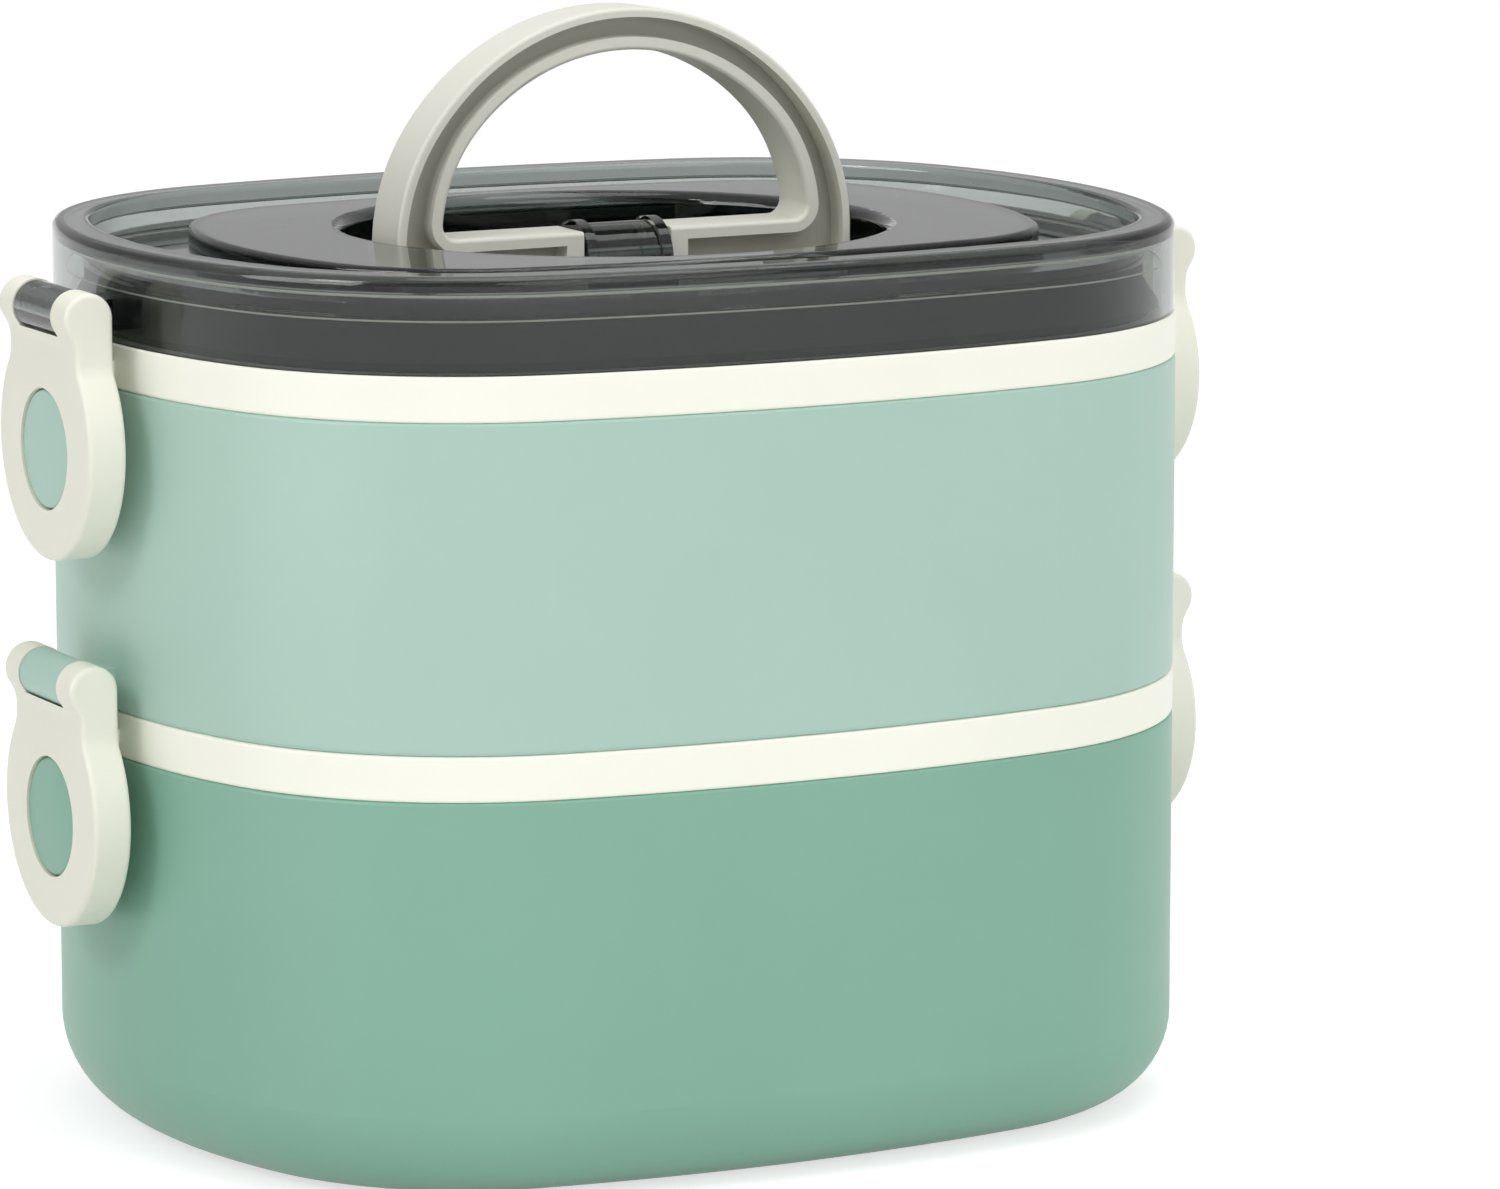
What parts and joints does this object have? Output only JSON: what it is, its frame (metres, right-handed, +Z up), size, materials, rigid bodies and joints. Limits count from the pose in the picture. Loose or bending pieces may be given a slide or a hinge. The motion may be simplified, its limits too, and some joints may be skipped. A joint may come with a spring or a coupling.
{
  "type": "stacked lunch box",
  "caption": "Round-cornered stacking lunch box with cream rims, a smoky clear lid, a D-shaped handle that folds into a round well, and swinging end latches.",
  "frame": {"origin": "middle of the base, on the plane it stands on", "axes": "+X along the length, through the latches; -Y is the front; +Z up"},
  "size_m": [0.2146, 0.154, 0.1888],
  "materials": {
    "dark_green": "satin",
    "light_green": "satin",
    "cream": "satin",
    "latch_cream": "satin",
    "handle_cream": "satin",
    "smoky_clear": "clear, glossy",
    "seal": "matt silicone",
    "steel": "drawn wire"
  },
  "bodies": {
    "lower_tier": {"lower_shell": "dark_green", "lower_liner": "cream"},
    "upper_tier": {"upper_shell": "light_green", "upper_liner": "cream", "base_seal": "seal"},
    "lid": {"lid": "smoky_clear", "lid_seal": "seal"},
    "handle": {"handle": "handle_cream", "handle_pin": "steel"},
    "upper_left_latch": {"upper_left_latch": "latch_cream", "upper_left_disc": "light_green", "upper_left_pin": "steel"},
    "upper_right_latch": {"upper_right_latch": "latch_cream", "upper_right_disc": "light_green", "upper_right_pin": "steel"},
    "lower_left_latch": {"lower_left_latch": "latch_cream", "lower_left_disc": "dark_green", "lower_left_pin": "steel"},
    "lower_right_latch": {"lower_right_latch": "latch_cream", "lower_right_disc": "dark_green", "lower_right_pin": "steel"}
  },
  "joints": [
    {"name": "upper_tier_lift", "type": "slide", "parent": "lower_tier", "child": "upper_tier", "axis": [0, 0, 1], "range_m": [0, 0.12]},
    {"name": "lid_lift", "type": "slide", "parent": "upper_tier", "child": "lid", "axis": [0, 0, 1], "range_m": [0, 0.1]},
    {"name": "handle_fold", "type": "hinge", "parent": "lid", "child": "handle", "pos_m": [0, 0, 0.1454], "axis": [1, 0, 0], "range_deg": [-90, 90]},
    {"name": "upper_left_latch_swing", "type": "hinge", "parent": "lid", "child": "upper_left_latch", "pos_m": [-0.103, 0, 0.14265], "axis": [0, 1, 0], "range_deg": [0, 125]},
    {"name": "upper_right_latch_swing", "type": "hinge", "parent": "lid", "child": "upper_right_latch", "pos_m": [0.103, 0, 0.14265], "axis": [0, -1, 0], "range_deg": [0, 125]},
    {"name": "lower_left_latch_swing", "type": "hinge", "parent": "upper_tier", "child": "lower_left_latch", "pos_m": [-0.103, 0, 0.08065], "axis": [0, 1, 0], "range_deg": [0, 125]},
    {"name": "lower_right_latch_swing", "type": "hinge", "parent": "upper_tier", "child": "lower_right_latch", "pos_m": [0.103, 0, 0.08065], "axis": [0, -1, 0], "range_deg": [0, 125]}
  ]
}
